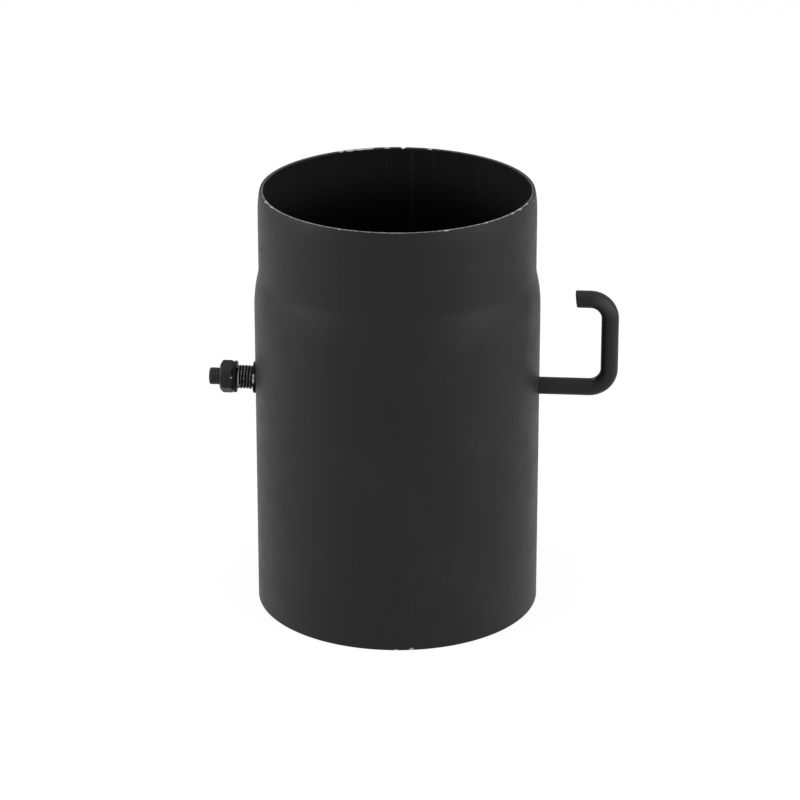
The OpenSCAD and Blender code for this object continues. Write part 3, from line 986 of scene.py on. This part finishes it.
class DAMPER_OT_spring(bpy.types.Operator):
    """Winds the spring, left-handed, with its end turns closed"""

    bl_idname = "damper.build_spring"
    bl_label = "Spring"

    def execute(self, context):
        sizes = context.scene.damper_bar
        low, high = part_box("spring")
        per_turn, sides, sag = 56, 16, 0.3 * MM
        radius = sizes.wire / 2
        closed = sizes.closed_turns * sizes.wire * 1.02
        middle = high.x - low.x - sizes.wire - 2 * closed
        middle_turns = sizes.turns - 2 * sizes.closed_turns
        bm = bmesh.new()
        start = Vector((low.x + radius, 0, BAR_HEIGHT - sizes.coil_radius))
        bmesh.ops.create_circle(
            bm, cap_ends=True, segments=sides, radius=radius,
            matrix=Matrix.Translation(start) @ Matrix.Rotation(math.radians(90), 4, "X"),
        )
        geom = list(bm.verts) + list(bm.edges)
        end = (sizes.closed_turns, closed)
        for turns, reach in (end, (middle_turns, middle), end):
            steps = round(turns * per_turn)
            move = (reach / steps, 0, 0)
            made = spun(bm, geom, BAR_CENTRE, (-1, 0, 0), math.tau * turns, steps, move=move)
            geom = [g for g in made if not isinstance(g, bmesh.types.BMFace)]
        edges = [g for g in geom if isinstance(g, bmesh.types.BMEdge)]
        bmesh.ops.contextual_create(bm, geom=edges)
        bmesh.ops.recalc_face_normals(bm, faces=bm.faces)
        bevel(bm, [e for f in bm.faces if len(f.edges) == sides for e in f.edges], 0.2 * MM)
        layer = bm.verts.layers.float.new("wear_and_glint")
        for vert in bm.verts:
            off, away = from_bar(vert)
            out = (away - sizes.coil_radius) / radius
            at_wall = smooth_step(high.x - 3.4 * MM, high.x - 1.2 * MM, off.x)
            at_nut = 1 - smooth_step(low.x + 1.2 * MM, low.x + 2.2 * MM, off.x)
            front_glint = smooth_step(0.5, 1, -off.y / away)
            # Near the nut and towards the front the wear is raised and reaches further in: a
            # painted glint on the first coil
            wear = 0.66 + 0.25 * at_nut * front_glint
            vert[layer] = wear * smooth_step(0.55 - 0.3 * at_nut, 1.0, out)
            vert.co.z -= sag * at_wall
        paint = "spring_worn_glinting_black"
        new_piece(bm, "coil_spring", "spring", DAMPER_BODY, "spring_steel", 50, paint)
        return {"FINISHED"}


# ---- Blade, straps, bolts and pin


class DAMPER_OT_blade(bpy.types.Operator):
    """Builds the blade: a round plate with two flats and four bolt holes"""

    bl_idname = "damper.build_blade"
    bl_label = "Blade"

    def execute(self, context):
        soft, paint = context.scene.damper_fixings.blade_round, "blade_matt_black"
        rounded_piece("damper_blade", "blade_plate", "blade_paint", paint, soft, segments=3)
        return {"FINISHED"}


class DAMPER_OT_straps(bpy.types.Operator):
    """Builds the two straps that clamp the blade to the bar"""

    bl_idname = "damper.build_straps"
    bl_label = "Straps"

    def execute(self, context):
        soft = context.scene.damper_fixings.strap_round
        for node in ("strap_left", "strap_right"):
            rounded_piece(node, node + "_band", "blade_paint", "blade_matt_black", soft)
        return {"FINISHED"}


def strap_bolt(sizes, node):
    low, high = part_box(node)
    middle = (low + high) / 2
    corner = sizes.bolt_flats / 2 / math.cos(math.radians(30))
    crest = sizes.bolt_radius
    base = high.y - sizes.bolt_head
    shank = base - low.y
    rows = round(shank / sizes.bolt_pitch * 8)
    section = [(high.y, corner * i / 8) for i in range(9)]
    section += [(high.y - sizes.bolt_head * i / 8, corner) for i in range(1, 9)]
    section += [(base, corner + (crest - corner) * i / 4) for i in range(1, 5)]
    section += [(base - shank * i / rows, crest) for i in range(1, rows + 1)]
    section += [(low.y, crest * i / 3) for i in (2, 1, 0)]
    bm = bmesh.new()
    profile = polyline(bm, [(middle.x, y, middle.z + radius) for y, radius in section])
    spun(bm, profile, middle, (0, -1, 0), math.tau, 48, merge=True)
    close_up(bm)
    head_chamfer, tip_reach, tip_in = math.radians(30), 0.7 * MM, 0.55 * MM
    for vert in bm.verts:
        x, z = vert.co.x - middle.x, vert.co.z - middle.z
        turn = math.atan2(z, x)
        if vert.co.y > high.y - 0.01 * MM or math.hypot(x, z) > crest + 0.01 * MM:
            cone = sizes.bolt_face + (high.y - vert.co.y) / math.tan(head_chamfer)
            limit, _ = hexagon_limit(turn, sizes.bolt_flats, (cone,), sizes.small_round)
            scale = limit / corner
        else:
            groove = thread_groove(-vert.co.y, turn, sizes.bolt_pitch)
            lead = max(0, 1 - (vert.co.y - low.y) / tip_reach)
            scale = 1 - (sizes.bolt_depth * groove + tip_in * lead ** 2) / crest
        vert.co.x, vert.co.z = middle.x + x * scale, middle.z + z * scale
    mark_wear(bm)
    name, steel = node + "_steel", "fixing_dark_steel"
    new_piece(bm, name, node, DAMPER_BODY, "fixing_steel", 30, steel)


class DAMPER_OT_bolts(bpy.types.Operator):
    """Builds the four strap bolts, with chamfered heads and rolled threads"""

    bl_idname = "damper.build_bolts"
    bl_label = "Strap bolts"

    def execute(self, context):
        for i in range(1, 5):
            strap_bolt(context.scene.damper_fixings, f"strap_bolt_{i}")
        return {"FINISHED"}


class DAMPER_OT_fixings(bpy.types.Operator):
    """Builds the lock washers and nuts on the strap bolts"""

    bl_idname = "damper.build_fixings"
    bl_label = "Lock washers and nuts"

    def execute(self, context):
        soft, steel = context.scene.damper_fixings.small_round, "fixing_dark_steel"
        for i in range(1, 5):
            for kind, degrees in (("strap_lock_washer", 30), ("strap_nut", 18)):
                node = f"{kind}_{i}"
                rounded_piece(node, node + "_steel", "fixing_steel", steel, soft, degrees)
        return {"FINISHED"}


class DAMPER_OT_pin(bpy.types.Operator):
    """Builds the slotted pin that holds the stop washer"""

    bl_idname = "damper.build_pin"
    bl_label = "Stop pin"

    def execute(self, context):
        soft, steel = context.scene.damper_fixings.pin_round, "fixing_dark_steel"
        rounded_piece("stop_pin", "stop_pin_roll", "fixing_steel", steel, soft, 30)
        return {"FINISHED"}


# ---- Stage


def seen_rays(tree):
    """A socket that is 1 for rays that show the background, straight or in a reflection."""
    total = 0.0
    for kind in ("Is Camera Ray", "Is Glossy Ray", "Is Transmission Ray"):
        ray = add_node(tree, "ShaderNodeLightPath", output=kind)
        total = add_node(tree, "ShaderNodeMath", {0: total, 1: ray}, operation="MAXIMUM")
    return total


def seen_mix(tree, plain, shown):
    """A shader that lights the part plainly and shows white where the background is seen."""
    return add_node(tree, "ShaderNodeMixShader", {0: seen_rays(tree), 1: plain, 2: shown})


def set_camera(context, sizes):
    data = bpy.data.cameras.new("camera")
    data.lens, data.sensor_width, data.clip_end = sizes.lens, 36, 50
    camera = bpy.data.objects.new("camera", data)
    level = Vector((math.sin(sizes.azimuth), -math.cos(sizes.azimuth), 0))
    back = level * math.cos(sizes.elevation) + Vector((0, 0, math.sin(sizes.elevation)))
    camera.location = Vector((0, 0, PIPE_HEIGHT / 2)) + sizes.distance * back
    camera.rotation_euler = (math.pi / 2 - sizes.pitch, 0, sizes.azimuth - sizes.yaw)
    context.scene.collection.objects.link(camera)
    context.scene.camera = camera


def add_lamp(context, name, place, size, power):
    """A square lamp that is aimed at the middle of the pipe."""
    data = bpy.data.lights.new(name, "AREA")
    data.shape, data.size, data.energy = "SQUARE", size, power
    lamp = bpy.data.objects.new(name, data)
    lamp.location = place
    aim = Vector((0, 0, PIPE_HEIGHT / 2)) - Vector(place)
    lamp.rotation_euler = aim.to_track_quat("-Z", "Y").to_euler()
    context.scene.collection.objects.link(lamp)


def lay_floor():
    """A floor that is white to the camera with a faint shadow, and clear from below."""
    bm = bmesh.new()
    bmesh.ops.create_grid(bm, x_segments=1, y_segments=1, size=6)
    bmesh.ops.translate(bm, verts=bm.verts, vec=(0, 0, -0.15 * MM))
    floor = new_object(bm, "floor")
    material = bpy.data.materials.new("white_floor")
    material.use_nodes = True
    tree = material.node_tree
    tree.nodes.clear()
    # Grey where it lights the part, and glowing nearly white where it is seen
    lit, seen, glow = (0.4, 0.4, 0.4, 1), (0.16, 0.16, 0.16, 1), 0.88
    matt = add_node(tree, "ShaderNodeBsdfDiffuse", {"Color": lit})
    faint = add_node(tree, "ShaderNodeBsdfDiffuse", {"Color": seen})
    white = add_node(tree, "ShaderNodeEmission", {"Strength": glow})
    mix = seen_mix(tree, matt, add_node(tree, "ShaderNodeAddShader", {0: faint, 1: white}))
    clear = add_node(tree, "ShaderNodeBsdfTransparent")
    below = add_node(tree, "ShaderNodeNewGeometry", output="Backfacing")
    surface = add_node(tree, "ShaderNodeMixShader", {0: below, 1: mix, 2: clear})
    add_node(tree, "ShaderNodeOutputMaterial", {"Surface": surface})
    floor.data.materials.append(material)


def set_world(context, sizes):
    world = bpy.data.worlds.new("studio")
    world.use_nodes = True
    context.scene.world = world
    tree = world.node_tree
    tree.nodes.clear()
    light = add_node(tree, "ShaderNodeBackground", {"Strength": sizes.world})
    white = add_node(tree, "ShaderNodeBackground", {"Strength": 1})
    add_node(tree, "ShaderNodeOutputWorld", {"Surface": seen_mix(tree, light, white)})


class DAMPER_OT_stage(bpy.types.Operator):
    """Sets the camera, the soft lamps, the white floor and the world"""

    bl_idname = "damper.set_stage"
    bl_label = "Stage"

    def execute(self, context):
        sizes = context.scene.damper_stage
        set_camera(context, sizes)
        lay_floor()
        set_world(context, sizes)
        # Name, place, width and power of each lamp
        for lamp in (
            ("side_lamp_-1", (-1.43, -0.42, 0.65), 1.3, sizes.side_lamps),
            ("side_lamp_1", (1.43, -0.42, 0.65), 1.3, sizes.side_lamps),
            ("top_lamp", (0, -0.2, 1.9), 2.0, sizes.top_lamp),
        ):
            add_lamp(context, *lamp)
        context.scene.view_settings.view_transform = "Standard"
        return {"FINISHED"}


PIECES = (
    DAMPER_OT_pipe, DAMPER_OT_bar, DAMPER_OT_nut, DAMPER_OT_washers, DAMPER_OT_spring,
    DAMPER_OT_blade, DAMPER_OT_straps, DAMPER_OT_bolts, DAMPER_OT_fixings, DAMPER_OT_pin,
)
GROUPS = {
    "damper_pipe": DamperPipeSizes, "damper_bar": DamperBarSizes,
    "damper_fixings": DamperFixingSizes, "damper_colours": DamperColours,
    "damper_stage": DamperStage,
}


class DAMPER_PT_sidebar(bpy.types.Panel):
    """Lists the damper's pieces, sizes and colours"""

    bl_label = "Stove Pipe Damper"
    bl_space_type = "VIEW_3D"
    bl_region_type = "UI"
    bl_category = "Damper"

    def draw(self, context):
        layout = self.layout
        for operator in (*PIECES, DAMPER_OT_stage):
            layout.operator(operator.bl_idname)
        for name, group in GROUPS.items():
            box = layout.box()
            for key in group.__annotations__:
                box.prop(getattr(context.scene, name), key)


CLASSES = (*GROUPS.values(), *PIECES, DAMPER_OT_stage, DAMPER_PT_sidebar)


def register():
    for cls in CLASSES:
        bpy.utils.register_class(cls)
    for name, group in GROUPS.items():
        setattr(bpy.types.Scene, name, PointerProperty(type=group))


def unregister():
    for name in GROUPS:
        delattr(bpy.types.Scene, name)
    for cls in reversed(CLASSES):
        bpy.utils.unregister_class(cls)


def main():
    register()
    for operator in (*PIECES, DAMPER_OT_stage):
        group, name = operator.bl_idname.split(".")
        if getattr(getattr(bpy.ops, group), name)() != {"FINISHED"}:
            raise RuntimeError(f"{operator.bl_label} wasn't finished")


if __name__ == "__main__":
    main()
